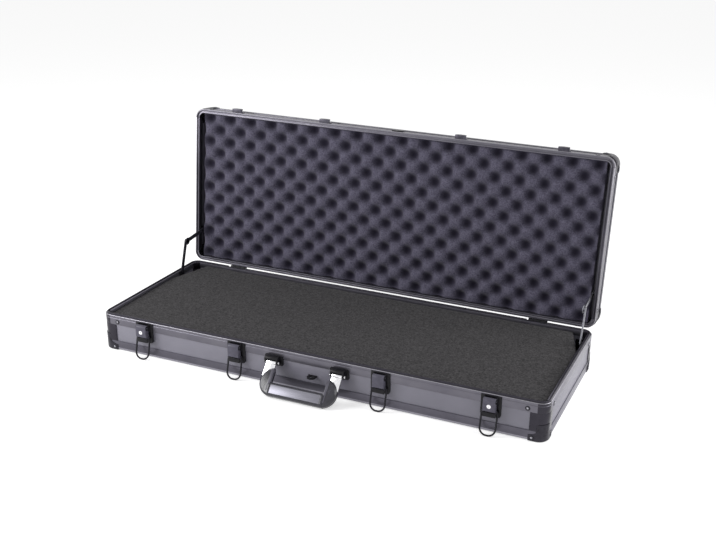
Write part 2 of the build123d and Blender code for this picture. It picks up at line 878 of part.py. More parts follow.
def padlock_eye():
    """Small plate on the front board with a holed tab that stands out from it."""
    face = panel_y - wall
    plate = block(
        (eye_place - eye_half_width, eye_place + eye_half_width),
        (face, panel_y),
        (eye_height - eye_plate_height / 2, eye_height + eye_plate_height / 2),
    )
    centre_y = panel_y - eye_out + eye_half_width
    low = eye_height - eye_sheet / 2
    high = eye_height + eye_sheet / 2
    tab = block((eye_place - eye_half_width, eye_place + eye_half_width), (centre_y, panel_y), (low, high))
    tab = tab + rod((eye_place, centre_y, low), (eye_place, centre_y, high), eye_half_width) & block(
        (eye_place - eye_half_width, eye_place + eye_half_width),
        (centre_y - eye_half_width, panel_y),
        (low, high),
    )
    return plate + tab - rod((eye_place, centre_y, low), (eye_place, centre_y, high), eye_hole_radius)


def lid_keeper():
    """Small plate at the middle of the lid's front, drawn shut."""
    low = lid_plane + keeper_offset
    return block(
        (keeper_place - keeper_half_width, keeper_place + keeper_half_width),
        (front_y - keeper_sheet, front_y),
        (low, low + keeper_height),
    )


def latch_pieces():
    """Plates, levers, bails and locks by name, with the group of pins."""
    pieces = {}
    pins = []
    for number, place in enumerate(latch_places, start=1):
        locked = number in locked_latches
        at = Pos(place, 0, 0)
        pieces[f"latch_{number}_plate"] = at * latch_plate()
        pieces[f"latch_{number}_lever"] = at * latch_lever(locked)
        pieces[f"latch_{number}_bail"] = at * latch_bail()
        if locked:
            pieces[f"latch_{number}_lock"] = at * lock_cylinder()
        pins.append(at * latch_pin())
    pieces["latch_pins"] = Compound(children=pins)
    return pieces


def handle_pieces():
    """Brackets, pins, arms, grip and inlay by name."""
    bracket = handle_bracket()
    left = Pos(-arm_place, 0, 0)
    right = Pos(arm_place, 0, 0)
    arm = handle_arm()
    return {
        "handle_bracket_left": left * bracket,
        "handle_bracket_right": right * bracket,
        "handle_pins": left * handle_pin() + right * handle_pin(),
        "handle_arm_left": to_handle(left * arm),
        "handle_arm_right": to_handle(right * arm),
        "handle_grip": to_handle(handle_grip()),
        "handle_inlay": to_handle(inlay_block(inlay_sheet)),
    }


def fittings():
    """Hinges, stays, strikes and padlock pieces by name."""
    lower, upper = stay_links()
    strikes = [Pos(place, 0, 0) * latch_strike() for place in latch_places]
    return {
        "hinge_base_leaves": hinge_pair(hinge_base_leaf()),
        "hinge_lid_leaves": to_open_lid(hinge_pair(hinge_lid_leaf())),
        "hinge_pins": hinge_pair(hinge_pin()),
        "stay_base_brackets": both_ends(stay_base_bracket()),
        "stay_lid_brackets": to_open_lid(both_ends(stay_lid_bracket())),
        "stay_left_lower": lower,
        "stay_left_upper": upper,
        "stay_right_lower": mirror(lower, about=Plane.YZ),
        "stay_right_upper": mirror(upper, about=Plane.YZ),
        "lid_strikes": to_open_lid(Compound(children=strikes)),
        "padlock_eye": padlock_eye(),
        "lid_keeper": to_open_lid(lid_keeper()),
    }


pieces = base_pieces()
pieces.update({name: to_open_lid(piece) for name, piece in lid_pieces().items()})
pieces.update(latch_pieces())
pieces.update(handle_pieces())
pieces.update(fittings())

os.makedirs("parts", exist_ok=True)
for name, piece in pieces.items():
    export_step(piece, f"parts/{name}.step")
print(len(pieces), "nodes")
print("handle leans", round(handle_tilt(), 3), "bails lean", round(bail_hang_angle(), 3))
print("cross tube", tube_centre, "bail length", round(bail_length, 3), "lock height", round(lock_height, 3))
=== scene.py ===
"""Looks of a long aluminium-framed tool case, lying open with foam in the base and the lid.

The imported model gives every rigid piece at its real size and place. This script rounds the edges
of those pieces, gives each its finish, and adds what the model leaves out: the foam's soft
surfaces, the rivets, the faces, collars and lips of the levers, the buttons on the stays and the
strips and the border of the grip. Lengths are metres.
"""

from __future__ import annotations

import json
import logging
import math
from contextlib import contextmanager
from dataclasses import dataclass
from enum import Enum
from functools import partial
from typing import Any, Callable, ClassVar, Iterator

import bpy
from mathutils import Euler, Matrix, Vector, noise

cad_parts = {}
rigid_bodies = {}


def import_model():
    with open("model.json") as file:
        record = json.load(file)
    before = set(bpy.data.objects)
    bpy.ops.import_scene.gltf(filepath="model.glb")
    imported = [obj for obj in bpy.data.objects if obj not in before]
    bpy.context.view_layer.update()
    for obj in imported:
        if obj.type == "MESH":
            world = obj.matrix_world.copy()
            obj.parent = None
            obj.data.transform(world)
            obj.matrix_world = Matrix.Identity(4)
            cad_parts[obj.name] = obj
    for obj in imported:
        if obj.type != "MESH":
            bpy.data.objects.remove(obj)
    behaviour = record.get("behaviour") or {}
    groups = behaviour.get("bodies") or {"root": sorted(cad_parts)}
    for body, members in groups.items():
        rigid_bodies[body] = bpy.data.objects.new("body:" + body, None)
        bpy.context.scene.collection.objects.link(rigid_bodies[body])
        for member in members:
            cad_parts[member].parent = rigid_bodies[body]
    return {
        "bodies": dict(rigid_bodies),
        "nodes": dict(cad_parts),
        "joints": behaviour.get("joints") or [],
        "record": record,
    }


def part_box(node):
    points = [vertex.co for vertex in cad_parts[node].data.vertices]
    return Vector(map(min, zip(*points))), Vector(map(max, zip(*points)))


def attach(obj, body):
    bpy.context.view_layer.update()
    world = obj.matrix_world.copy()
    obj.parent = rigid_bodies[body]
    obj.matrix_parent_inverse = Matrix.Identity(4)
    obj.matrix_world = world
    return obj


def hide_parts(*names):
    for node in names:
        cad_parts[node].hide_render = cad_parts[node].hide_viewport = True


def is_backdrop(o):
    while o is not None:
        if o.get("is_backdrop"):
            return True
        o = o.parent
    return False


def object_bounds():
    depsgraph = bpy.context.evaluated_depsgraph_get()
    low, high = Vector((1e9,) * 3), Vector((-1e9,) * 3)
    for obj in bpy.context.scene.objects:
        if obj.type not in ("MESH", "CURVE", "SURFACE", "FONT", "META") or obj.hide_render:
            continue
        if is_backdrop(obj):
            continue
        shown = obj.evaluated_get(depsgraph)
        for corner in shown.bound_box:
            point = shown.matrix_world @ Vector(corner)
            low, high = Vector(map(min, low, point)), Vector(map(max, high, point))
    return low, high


Piece = bpy.types.Object
Tree = bpy.types.NodeTree
Socket = bpy.types.NodeSocket

LOG = logging.getLogger("tool_case")
MM = 0.001
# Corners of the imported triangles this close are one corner
MERGE_DISTANCE = 0.002 * MM
# Faces that meet at less than this are one flat face
FLAT_ANGLE = math.radians(0.5)
# Faces that meet at more than this have an edge to round
EDGE_ANGLE = math.radians(38)
# Distance within which two planes count as one
TOUCH = 0.3 * MM
# A face looks one way when its normal's share of that way is over this
ALIGNED = 0.95
# A face is level when its normal's upright share is over this, and else upright
LEVEL = 0.5
# Name of the attribute that holds the painted shade of the egg-box foam, drawn from how deep in a hollow it
# lies
HOLLOW_SHADE = "hollow_shade"
# Colour of light and of the room
WHITE = "#ffffff"


class Run(Enum):
    """Direction in which a profile was drawn or a sheet was brushed."""

    ALONG_X = (1.0, 60.0, 60.0)
    ALONG_Y = (60.0, 1.0, 60.0)


class Half(Enum):
    """One half of the case, by the name of its body."""

    BASE = "base"
    LID = "lid"


def linear(colour: str) -> tuple[float, float, float, float]:
    """Turns an sRGB hex colour into linear light.

    Args:
        colour: Six hex digits after a hash.

    Returns:
        Red, green, blue and alpha, from 0 to 1.
    """
    parts = [int(colour[at : at + 2], 16) / 255 for at in (1, 3, 5)]
    light = [part / 12.92 if part <= 0.04045 else ((part + 0.055) / 1.055) ** 2.4 for part in parts]
    return (light[0], light[1], light[2], 1.0)


def add_node(tree: Tree, kind: str, inputs: dict[Any, Any], **settings: Any) -> bpy.types.Node:
    """Adds one node, sets its options and fills or links its inputs.

    Args:
        tree: The tree that gets the node.
        kind: The node's type name.
        inputs: A value or another node's socket for each named input.
        settings: The node's own options.

    Returns:
        The new node.
    """
    node = tree.nodes.new(kind)
    for option, value in settings.items():
        setattr(node, option, value)
    for name, value in inputs.items():
        if isinstance(value, Socket):
            tree.links.new(value, node.inputs[name])
        else:
            node.inputs[name].default_value = value
    return node


class Pattern:
    """Node tree of one material, with what draws its patterns from object coordinates in metres."""

    # Most of a noise lies between these two values
    DARK = 0.3
    LIGHT = 0.7
    # Strength of each finer layer of noise beside the one before
    FINENESS = 0.6

    def __init__(self, tree: Tree) -> None:
        """Starts from the coordinates.

        Args:
            tree: The material's tree.
        """
        self.tree = tree
        self.place = add_node(tree, "ShaderNodeTexCoord", {}).outputs["Object"]

    def grain(self, size: float, detail: float = 2.0, run: Run | None = None) -> Socket:
        """Adds noise whose lumps have a real size.

        Args:
            size: Width of a lump in metres.
            detail: How many finer layers lie on it.
            run: Direction in which the lumps are drawn out to lines, if they are.

        Returns:
            The noise, from 0 to 1.
        """
        place = self.place
        if run is not None:
            inputs = {"Vector": place, "Scale": run.value}
            place = add_node(self.tree, "ShaderNodeMapping", inputs).outputs[0]
        inputs = {"Vector": place, "Scale": 1 / size, "Detail": detail, "Roughness": self.FINENESS}
        return add_node(self.tree, "ShaderNodeTexNoise", inputs).outputs[0]

    def shift(self, value: Socket, low: float, high: float) -> Socket:
        """Spreads the middle of a noise over a wanted range.

        Args:
            value: Noise from 0 to 1.
            low: What the dark parts become.
            high: What the light parts become.

        Returns:
            The new value.
        """
        noise_range = {"From Min": self.DARK, "From Max": self.LIGHT}
        inputs = {"Value": value, **noise_range, "To Min": low, "To Max": high}
        return add_node(self.tree, "ShaderNodeMapRange", inputs).outputs[0]

    def blend(self, factor: Socket, first: str | Socket, second: str) -> Socket:
        """Mixes two colours by a factor.

        Args:
            factor: 0 for the first colour and 1 for the second.
            first: sRGB hex colour, or a socket that gives a colour.
            second: sRGB hex colour.

        Returns:
            The mixed colour.
        """
        start = linear(first) if isinstance(first, str) else first
        # Sockets 6 and 7 are the node's two colours, and output 2 the mixed one
        inputs = {0: factor, 6: start, 7: linear(second)}
        return add_node(self.tree, "ShaderNodeMix", inputs, data_type="RGBA").outputs[2]

    def relief(self, height: Socket, depth: float) -> Socket:
        """Turns a height into a bumped normal.

        Args:
            height: Height from 0 to 1.
            depth: What a height of 1 means, in metres.

        Returns:
            The normal.
        """
        inputs = {"Height": height, "Distance": depth, "Strength": 1.0}
        return add_node(self.tree, "ShaderNodeBump", inputs).outputs[0]


@dataclass(frozen=True)
class Finish:
    """What all surface finishes share.

    The colour drifts to a second one, and the roughness strays down and up from its own value.
    """

    name: str
    colour: str
    roughness: float
    metallic: float
    second: str

    glossier: ClassVar[float] = 0.05
    duller: ClassVar[float] = 0.08

    def material(self) -> bpy.types.Material:
        """Makes the material once.

        Returns:
            The material of this finish.
        """
        made = bpy.data.materials.get(self.name)
        if made is not None:
            return made
        made = bpy.data.materials.new(self.name)
        made.use_nodes = True
        tree = made.node_tree
        tree.nodes.clear()
        inputs = {"Metallic": self.metallic, **self.inputs(Pattern(tree))}
        shader = add_node(tree, "ShaderNodeBsdfPrincipled", inputs)
        add_node(tree, "ShaderNodeOutputMaterial", {"Surface": shader.outputs["BSDF"]})
        return made

    def inputs(self, on: Pattern) -> dict[str, Any]:
        """Adds what varies over the surface.

        Args:
            on: The material's pattern tree.

        Returns:
            Sockets or values for the shader's inputs.
        """
        raise NotImplementedError

    def drift(self, on: Pattern, pattern: Socket) -> Socket:
        """Lets the colour drift to the second one with a noise.

        Args:
            on: The material's pattern tree.
            pattern: The noise that it follows.

        Returns:
            The colour.
        """
        return on.blend(on.shift(pattern, 0, 1), self.colour, self.second)

    def gloss(self, on: Pattern, pattern: Socket) -> Socket:
        """Lets the roughness stray with a noise.

        Args:
            on: The material's pattern tree.
            pattern: The noise that it follows.

        Returns:
            The roughness.
        """
        return on.shift(pattern, self.roughness - self.glossier, self.roughness + self.duller)


@dataclass(frozen=True)
class FacedBoard(Finish):
    """Satin aluminium-look laminate pressed on board: faint brushed cast, slight orange peel."""

    glossier: ClassVar[float] = 0.04
    duller: ClassVar[float] = 0.05
    peel: float = 1.4 * MM
    peel_depth: float = 0.02 * MM
    cloud: float = 55 * MM
    lacquer: float = 0.25
    lacquer_roughness: float = 0.3

    def inputs(self, on: Pattern) -> dict[str, Any]:
        """Adds slow colour drift, uneven gloss and peel.

        Args:
            on: The material's pattern tree.

        Returns:
            Sockets or values for the shader's inputs.
        """
        cloud = on.grain(self.cloud)
        peel = on.grain(self.peel)
        return {
            "Base Color": self.drift(on, cloud),
            "Roughness": self.gloss(on, cloud),
            "Normal": on.relief(peel, self.peel_depth),
            "Coat Weight": self.lacquer,
            "Coat Roughness": self.lacquer_roughness,
        }


@dataclass(frozen=True)
class DrawnAluminium(Finish):
    """Anodised extrusion: die lines run along its length and the dye is a little uneven."""

    glossier: ClassVar[float] = 0.06
    run: Run
    line: float = 26 * MM
    line_depth: float = 0.015 * MM
    cloud: float = 40 * MM

    def inputs(self, on: Pattern) -> dict[str, Any]:
        """Adds die lines about half a millimetre wide and slow dye clouds.

        Args:
            on: The material's pattern tree.

        Returns:
            Sockets or values for the shader's inputs.
        """
        lines = on.grain(self.line, run=self.run)
        cloud = on.grain(self.cloud)
        return {
            "Base Color": self.drift(on, cloud),
            "Roughness": self.gloss(on, lines),
            "Normal": on.relief(lines, self.line_depth),
        }


@dataclass(frozen=True)
class PowderCoat(Finish):
    """Baked powder on pressed steel: fine pimples, and paint thinned by handling."""

    pimple: float = 0.9 * MM
    pimple_depth: float = 0.03 * MM
    blotch: float = 9 * MM
    mirror: float = 0.2

    def inputs(self, on: Pattern) -> dict[str, Any]:
        """Adds pimples under a millimetre and blotches where hands rub.

        Args:
            on: The material's pattern tree.

        Returns:
            Sockets or values for the shader's inputs.
        """
        rubbed = on.grain(self.blotch)
        pimple = on.grain(self.pimple)
        return {
            "Base Color": self.drift(on, rubbed),
            "Roughness": self.gloss(on, rubbed),
            "Normal": on.relief(pimple, self.pimple_depth),
            "Specular IOR Level": self.mirror,
        }


@dataclass(frozen=True)
class PolishedMetal(Finish):
    """Plated or turned metal: mirror-like, with faint swirl marks."""

    glossier: ClassVar[float] = 0.0
    swirl: float = 5 * MM
    layers: float = 4.0

    def inputs(self, on: Pattern) -> dict[str, Any]:
        """Adds soft swirls a few millimetres long."""
        swirl = on.grain(self.swirl, self.layers)
        return {"Base Color": self.drift(on, swirl), "Roughness": self.gloss(on, swirl)}


@dataclass(frozen=True)
class BrushedSheet(Finish):
    """Thin aluminium sheet brushed lengthwise: hair lines along X and a clear lacquer."""

    duller: ClassVar[float] = 0.1
    hair: float = 20 * MM
    hair_depth: float = 0.02 * MM
    layers: float = 4.0

    def inputs(self, on: Pattern) -> dict[str, Any]:
        """Adds hair lines a third of a millimetre wide.

        Args:
            on: The material's pattern tree.

        Returns:
            Sockets or values for the shader's inputs.
        """
        hair = on.grain(self.hair, self.layers, Run.ALONG_X)
        return {
            "Base Color": self.drift(on, hair),
            "Roughness": self.gloss(on, hair),
            "Normal": on.relief(hair, self.hair_depth),
        }


@dataclass(frozen=True)
class MouldedPlastic(Finish):
    """Injection-moulded plastic with a spark-eroded texture."""

    glossier: ClassVar[float] = 0.06
    duller: ClassVar[float] = 0.06
    texture: float = 0.7 * MM
    texture_depth: float = 0.03 * MM
    blotch: float = 14 * MM

    def inputs(self, on: Pattern) -> dict[str, Any]:
        """Adds the mould's fine texture and a worn sheen.

        Args:
            on: The material's pattern tree.

        Returns:
            Sockets or values for the shader's inputs.
        """
        texture = on.grain(self.texture)
        worn = on.grain(self.blotch)
        return {
            "Base Color": self.drift(on, worn),
            "Roughness": self.gloss(on, worn),
            "Normal": on.relief(texture, self.texture_depth),
        }


@dataclass(frozen=True)
class OpenFoam(Finish):
    """Open-cell polyurethane foam: matt, speckled by pores that catch the light one by one."""

    pore: float
    clump: float = 7 * MM
    depth: float = 0.7 * MM
    clump_share: float = 0.3
    layers: float = 3.0
    speckle_low: float = -0.3
    speckle_high: float = 1.3
    mirror: float = 0.1
    fuzz: float = 0.1
    fuzz_roughness: float = 0.5

    def inputs(self, on: Pattern) -> dict[str, Any]:
        """Adds pores in clumps, drawn a little coarser than real so that they show.

        Args:
            on: The material's pattern tree.

        Returns:
            Sockets or values for the shader's inputs.
        """
        pore = on.grain(self.pore, self.layers)
        clump = on.grain(self.clump)
        shares = {0: self.clump_share, 2: pore, 3: clump}
        weighed = add_node(on.tree, "ShaderNodeMix", shares, data_type="FLOAT").outputs[0]
        return {
            "Base Color": self.tone(on, on.shift(weighed, self.speckle_low, self.speckle_high)),
            "Roughness": self.roughness,
            "Normal": on.relief(pore, self.depth),
            "Specular IOR Level": self.mirror,
            "Sheen Weight": self.fuzz,
            "Sheen Roughness": self.fuzz_roughness,
        }

    def tone(self, on: Pattern, speckle: Socket) -> Socket:
        """Colours the foam by its speckle.

        Args:
            on: The material's pattern tree.
            speckle: 0 in a pore and 1 on a cell wall.

        Returns:
            The colour.
        """
        return on.blend(speckle, self.colour, self.second)


@dataclass(frozen=True)
class EggBoxFoam(OpenFoam):
    """Moulded egg-box foam, whose colour darkens down in the hollows as painted shade."""

    # Colour of the painted shade down in the hollows
    hollow_shade: str = "#34313f"

    def tone(self, on: Pattern, speckle: Socket) -> Socket:
        """Colours the foam by its speckle, and darker down in the hollows as painted shade."""
        depth = add_node(on.tree, "ShaderNodeAttribute", {}, attribute_name=HOLLOW_SHADE).outputs["Fac"]
        return on.blend(depth, super().tone(on, speckle), self.hollow_shade)


# Grey laminate pressed on board, satin, a little purple
BOARD = FacedBoard("laminate_faced_board", "#73717d", 0.42, 0.0, "#7c7a86")
# Grey anodised extrusion, drawn, half-gloss metal; the lid's short sides are drawn darker as painted shade
FRAME_LONG = DrawnAluminium("anodised_extrusion_long", "#5e5c65", 0.34, 0.85, "#68666e", Run.ALONG_X)
FRAME_SHORT_SHADED = DrawnAluminium("anodised_extrusion_short_painted_shade", "#4a4850", 0.34, 0.85, "#54525b", Run.ALONG_Y)
# The same extrusion on the base's ends, drawn lighter as painted light that stands for the side lamp on the
# ends
FRAME_END_LIT = DrawnAluminium("anodised_extrusion_end_painted_light", "#75737d", 0.34, 0.85, "#7e7c86", Run.ALONG_Y)
# Bottom and top edge extrusions, dyed a shade darker than the rims
EDGE_LONG = DrawnAluminium("anodised_edge_long", "#53515a", 0.36, 0.85, "#5c5a63", Run.ALONG_X)
# Corner posts, dark anodised and glossy
POST = DrawnAluminium("anodised_corner_post", "#2e2c33", 0.26, 0.85, "#38363d", Run.ALONG_Y)
# Tongue of the base's rims, drawn dark as painted shade, standing for the shade beside the foam
TONGUE_SHADE = PolishedMetal("tongue_painted_shade", "#333138", 0.4, 0.85, "#3e3c44")
# Shoulder beside the tongue and bead along the outer edges, drawn bright: a painted highlight on the shoulder
# and a painted reflection of the floor on the bead
SHOULDER_HIGHLIGHT = PolishedMetal("shoulder_painted_highlight", "#8c8a91", 0.36, 0.85, "#9b99a0")
BEAD_REFLECTION = PolishedMetal("bead_painted_reflection", "#83818a", 0.3, 0.85, "#918f98")
# Black powder coat on pressed steel corner caps, half-gloss
CAP = PowderCoat("powder_coated_steel_cap", "#2a282f", 0.3, 0.2, "#37353d")
# Black powder coat on hinges, latch plates and brackets, half-gloss
FITTING = PowderCoat("powder_coated_steel_fitting", "#0f0e12", 0.36, 0.0, "#1c1b20")
# Die-cast zinc lever of the latches, coated black; its dark-grey face is drawn lighter grey as painted
# reflection of the sheen it catches
LEVER = PowderCoat("powder_coated_zinc_lever", "#0e0d11", 0.36, 0.0, "#1a191f")
LEVER_FACE_SHEEN = PowderCoat("lever_face_painted_reflection", "#504e5a", 0.36, 0.0, "#5c5a67")
# Strikes of the lid, worn grey by the bails
STRIKE = PowderCoat("worn_steel_strike", "#3d3b44", 0.34, 0.4, "#55535d")
# Blackened spring wire, half-gloss
WIRE = PowderCoat("blackened_spring_wire", "#19181d", 0.36, 0.1, "#26252b")
# Bright chrome plating, mirror-like
CHROME = PolishedMetal("chrome_plated_steel", "#dcdce0", 0.12, 1.0, "#f2f2f4")
# Nickel plating on the lock faces and the handle's pins, bright but softer than chrome
NICKEL = PolishedMetal("nickel_plated_brass", "#d6d5d9", 0.2, 1.0, "#f2f2f4")
# Zinc plating on the right stay's steel strips, and the blackened strips of the left stay
ZINC = PolishedMetal("zinc_plated_steel", "#74747b", 0.34, 1.0, "#88888f")
BLACK_STRIP = PowderCoat("blackened_steel_strip", "#222127", 0.32, 0.2, "#34333b")
# Rivet heads, dull nickel, and the black cups that they sit in
RIVET = PolishedMetal("nickel_plated_rivet", "#8d8c93", 0.26, 1.0, "#a9a8af")
CUP = PowderCoat("black_rivet_cup", "#232229", 0.32, 0.0, "#34333b")
# Moulded polypropylene grip, nearly black, polished by hands
GRIP = MouldedPlastic("moulded_polypropylene", "#1f1e26", 0.24, 0.0, "#33323c")
# Brushed aluminium inlay under lacquer, its bright border and the dark groove between them
INLAY = BrushedSheet("brushed_aluminium_sheet", "#6d6c75", 0.4, 0.9, "#8b8a93")
TRIM = PolishedMetal("bright_trim", "#a9a8b0", 0.24, 1.0, "#bcbbc2")
GROOVE = PowderCoat("dark_groove", "#3a3942", 0.4, 0.0, "#484750")
# Enamelled strips let into the ends of the grip, grey and half-gloss
STRIP = PowderCoat("grey_enamelled_strip", "#55535d", 0.3, 0.0, "#62606a")
# Cut open-cell polyurethane foam of the base, charcoal and matt
FLAT_FOAM = OpenFoam("flat_polyurethane_foam", "#1c1b1c", 0.95, 0.0, "#4a484a", 3.4 * MM)
# Convoluted open-cell polyurethane foam of the lid, matt and a touch purple, with painted shade in its hollows
EGG_FOAM = EggBoxFoam(
    "egg_box_polyurethane_foam", "#4b4857", 0.95, 0.0, "#676475", 2.8 * MM, 9 * MM, 0.5 * MM
)


def select_only(piece: Piece) -> None:
    """Deselects everything, then selects one object and makes it active.

    Args:
        piece: The object.
    """
    bpy.ops.object.select_all(action="DESELECT")
    piece.select_set(True)
    bpy.context.view_layer.objects.active = piece


@contextmanager
def editing(piece: Piece, whole: bool = True) -> Iterator[None]:
    """Works on one mesh in edit mode.

    Args:
        piece: The mesh object.
        whole: Whether all of it is selected first, or else what was selected before.

    Yields:
        Nothing; the mesh is in edit mode meanwhile.
    """
    select_only(piece)
    bpy.ops.object.mode_set(mode="EDIT")
    if whole:
        bpy.ops.mesh.select_all(action="SELECT")
    yield
    bpy.ops.object.mode_set(mode="OBJECT")


def apply_modifier(piece: Piece, kind: str, **settings: Any) -> None:
    """Adds a modifier with its settings and applies it.

    Args:
        piece: The mesh object.
        kind: The modifier's type.
        settings: The modifier's options.
    """
    select_only(piece)
    modifier = piece.modifiers.new(kind.title(), kind)
    for option, value in settings.items():
        setattr(modifier, option, value)
    bpy.ops.object.modifier_apply(modifier=modifier.name)


def round_edges(piece: Piece, radius: float, segments: int = 2) -> None:
    """Rounds every sharp edge and shades the rest smooth.

    Args:
        piece: The mesh object.
        radius: Width of the rounding in metres.
        segments: Faces across the rounding.
    """
    apply_modifier(
        piece,
        "BEVEL",
        width=radius,
        segments=segments,
        limit_method="ANGLE",
        angle_limit=EDGE_ANGLE,
        use_clamp_overlap=True,
    )
    select_only(piece)
    bpy.ops.object.shade_smooth_by_angle(angle=EDGE_ANGLE)


def set_in_place(piece: Piece) -> None:
    """Moves an object's place into its mesh, so that the object sits at the origin."""
    select_only(piece)
    bpy.ops.object.transform_apply(location=True, rotation=True, scale=True)


def add_primitive(name: str, operator: Callable[..., Any], **options: Any) -> Piece:
    """Adds a primitive at its size and place as the start of a piece.

    Args:
        name: The piece's name.
        operator: The operator that adds the primitive.
        options: The operator's own options.

    Returns:
        The new object, at the origin.
    """
    bpy.ops.object.select_all(action="DESELECT")
    operator(**options)
    piece = bpy.context.active_object
    piece.name = name
    set_in_place(piece)
    return piece


def select_faces(piece: Piece, normal: Vector, limit: float = ALIGNED) -> None:
    """Selects the faces that look one way, before edit mode.

    Args:
        piece: The mesh object, in object mode.
        normal: The wanted direction.
        limit: How close a face's normal comes to it.
    """
    for face in piece.data.polygons:
        face.select = face.normal.dot(normal) > limit


def number_selected(piece: Piece, number: int) -> None:
    """Numbers the selected faces with one of the piece's finishes.

    Args:
        piece: The mesh object, in object mode.
        number: Place of the finish in the piece's list.
    """
    for face in piece.data.polygons:
        if face.select:
            face.material_index = number


def add_button(name: str, radius: float, depth: float, edge: float, **options: Any) -> Piece:
    """Adds a short cylinder whose face towards +Z, before it is turned, is rounded off.

    Args:
        name: The piece's name.
        radius: The cylinder's radius in metres.
        depth: Its height.
        edge: Width of the rounding.
        options: Location, rotation and number of sides.

    Returns:
        The button.
    """
    turn = Euler(options.get("rotation", (0, 0, 0))).to_matrix()
    button = add_primitive(name, bpy.ops.mesh.primitive_cylinder_add, radius=radius, depth=depth, **options)
    select_faces(button, turn @ Vector((0, 0, 1)))
    with editing(button, whole=False):
        bpy.ops.mesh.bevel(offset=edge, offset_type="OFFSET", segments=3, profile=0.5)
    bpy.ops.object.shade_smooth_by_angle(angle=EDGE_ANGLE)
    return button


def copies_joined(model: Piece, name: str, places: list[Matrix]) -> Piece:
    """Copies a small piece to many places and joins the copies.

    Args:
        model: The piece, made at the origin; it is removed.
        name: The joined piece's name.
        places: Where each copy goes.

    Returns:
        The joined piece.
    """
    copies = []
    for place in places:
        copy = bpy.data.objects.new(name, model.data.copy())
        bpy.context.scene.collection.objects.link(copy)
        copy.data.transform(place)
        copies.append(copy)
    bpy.data.objects.remove(model)
    bpy.ops.object.select_all(action="DESELECT")
    for copy in copies:
        copy.select_set(True)
    bpy.context.view_layer.objects.active = copies[0]
    if len(copies) > 1:
        bpy.ops.object.join()
    joined = bpy.context.active_object
    joined.name = name
    return joined


class Bench:
    """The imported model, with what the sub-assemblies look up in it."""

    def __init__(self) -> None:
        """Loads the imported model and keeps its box."""
        self.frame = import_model()
        self.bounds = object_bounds()
        record = self.frame["record"]
        self.slots = {part["node"]: part["material_slot"] for part in record["subparts"]}
        bodies = record["behaviour"]["bodies"]
        self.bodies = {node: body for body, nodes in bodies.items() for node in nodes}
        self.joints = {joint["name"]: joint for joint in self.frame["joints"]}
        hinge = self.joints["lid_hinge"]
        pivot = Vector(hinge["pos_m"])
        opened = -math.radians(hinge["range_deg"][1])
        self.lid_open = Matrix.Translation(pivot) @ Matrix.Rotation(opened, 4, "X") @ Matrix.Translation(-pivot)

    def turn(self, half: Half) -> Matrix:
        """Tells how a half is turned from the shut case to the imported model.

        Args:
            half: Base or lid.

        Returns:
            The lid's opening turn, or none for the base.
        """
        return self.lid_open if half is Half.LID else Matrix.Identity(4)

    def shut_box(self, node: str) -> tuple[Vector, Vector]:
        """Box of a lid node as it lies with the lid shut.

        Args:
            node: The node's name.

        Returns:
            Lowest and highest corner in metres.
        """
        back = self.lid_open.inverted()
        points = [back @ vertex.co for vertex in self.frame["nodes"][node].data.vertices]
        low = Vector(min(point[axis] for point in points) for axis in range(3))
        high = Vector(max(point[axis] for point in points) for axis in range(3))
        return low, high

    def finish_piece(self, piece: Piece, body: str, slot: str, finish: Finish, *others: Finish) -> None:
        """Gives a piece its finishes and body, and reports it.

        Args:
            piece: The finished mesh, with the number of its finish on each face.
            body: The body that it moves with.
            slot: The record's material slot; not used.
            finish: Its surface.
            others: Finishes of the faces numbered from 1.
        """
        numbers = [face.material_index for face in piece.data.polygons]
        piece.data.materials.clear()
        for each in (finish, *others):
            piece.data.materials.append(each.material())
        for face, number in zip(piece.data.polygons, numbers):
            face.material_index = min(number, len(others))
        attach(piece, body)
        LOG.info("%s rides on %s, %s, %d faces", piece.name, body, finish.name, len(piece.data.polygons))

    def dress(
        self,
        node: str,
        finish: Finish,
        radius: float,
        *others: Finish,
        shape: Callable[[Piece], None] | None = None,
    ) -> None:
        """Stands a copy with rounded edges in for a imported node.

        Args:
            node: The node's name.
            finish: Its surface.
            radius: Width of the rounding in metres.
            others: Finishes of the faces that the shaping numbers from 1.
            shape: Shapes and numbers faces before the edges are rounded.
        """
        piece = bpy.data.objects.new(f"{node}_dressed", self.frame["nodes"][node].data.copy())
        bpy.context.scene.collection.objects.link(piece)
        select_only(piece)
        bpy.ops.mesh.customdata_custom_splitnormals_clear()
        with editing(piece):
            bpy.ops.mesh.remove_doubles(threshold=MERGE_DISTANCE)
            bpy.ops.mesh.dissolve_limited(angle_limit=FLAT_ANGLE)
        for face in piece.data.polygons:
            face.material_index = 0
        if shape is not None:
            shape(piece)
        round_edges(piece, radius)
        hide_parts(node)
        self.finish_piece(piece, self.bodies[node], self.slots[node], finish, *others)


